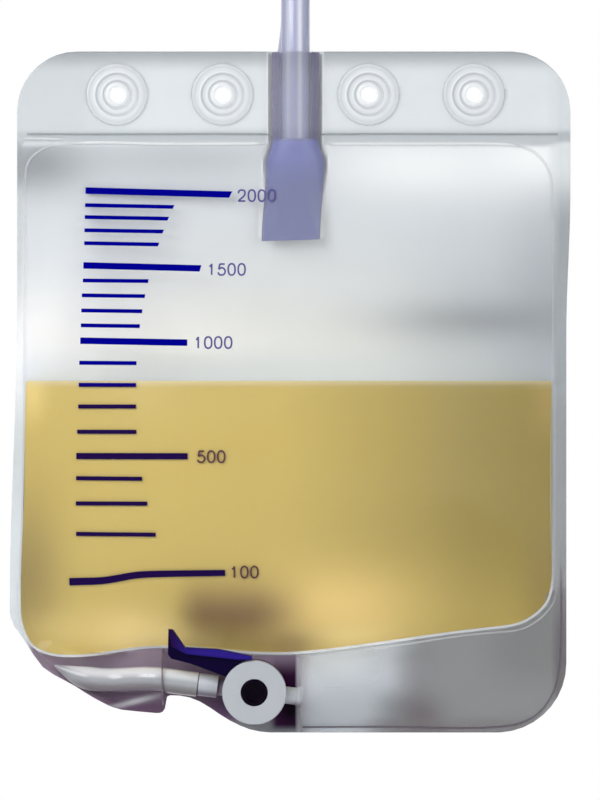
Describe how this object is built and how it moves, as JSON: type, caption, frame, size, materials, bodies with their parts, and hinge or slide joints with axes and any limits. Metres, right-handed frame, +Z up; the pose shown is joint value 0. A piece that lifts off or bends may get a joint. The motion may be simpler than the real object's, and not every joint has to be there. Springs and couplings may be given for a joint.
{
  "type": "urine drainage bag",
  "caption": "Bedside urine drainage bag with hanger holes, inlet hose and non-return valve, graduated chamber part full, and a lever tap in a pocket.",
  "frame": {"origin": "middle of the row of four hanger holes, in the weld plane of the two films", "axes": "+Z up as the bag hangs, +X to the right seen from the front, the front faces -Y"},
  "size_m": [0.2338, 0.1162, 0.3641],
  "materials": {
    "clear_film": "clear flexible film",
    "back_sheet": "milky flexible film",
    "liquid": "amber liquid",
    "valve_blue": "blue tinted film",
    "clear_tube": "clear soft tube",
    "soft_tube": "soft tube",
    "tap_white": "moulded satin",
    "lever_blue": "moulded gloss",
    "connector_blue": "moulded gloss",
    "cap_clear": "frosted",
    "tie_white": "soft band"
  },
  "bodies": {
    "bag": {"front_film": "clear_film", "back_film": "back_sheet", "contents": "liquid", "valve_sleeve": "valve_blue", "inlet_tube": "clear_tube", "inlet_tube_coil": "clear_tube", "inlet_tube_end": "clear_tube", "coil_tie": "tie_white", "inlet_connector": "connector_blue", "outlet_tube": "soft_tube", "tap_body": "tap_white"},
    "lever": {"tap_lever": "lever_blue"},
    "cap": {"connector_cap": "cap_clear"}
  },
  "joints": [
    {"name": "tap_turn", "type": "hinge", "parent": "bag", "child": "lever", "pos_m": [-0.01705, 0, -0.2487], "axis": [0, 1, 0], "range_deg": [0, 90]},
    {"name": "cap_pull", "type": "slide", "parent": "bag", "child": "cap", "axis": [0, 0, -1], "range_m": [0, 0.04]}
  ]
}
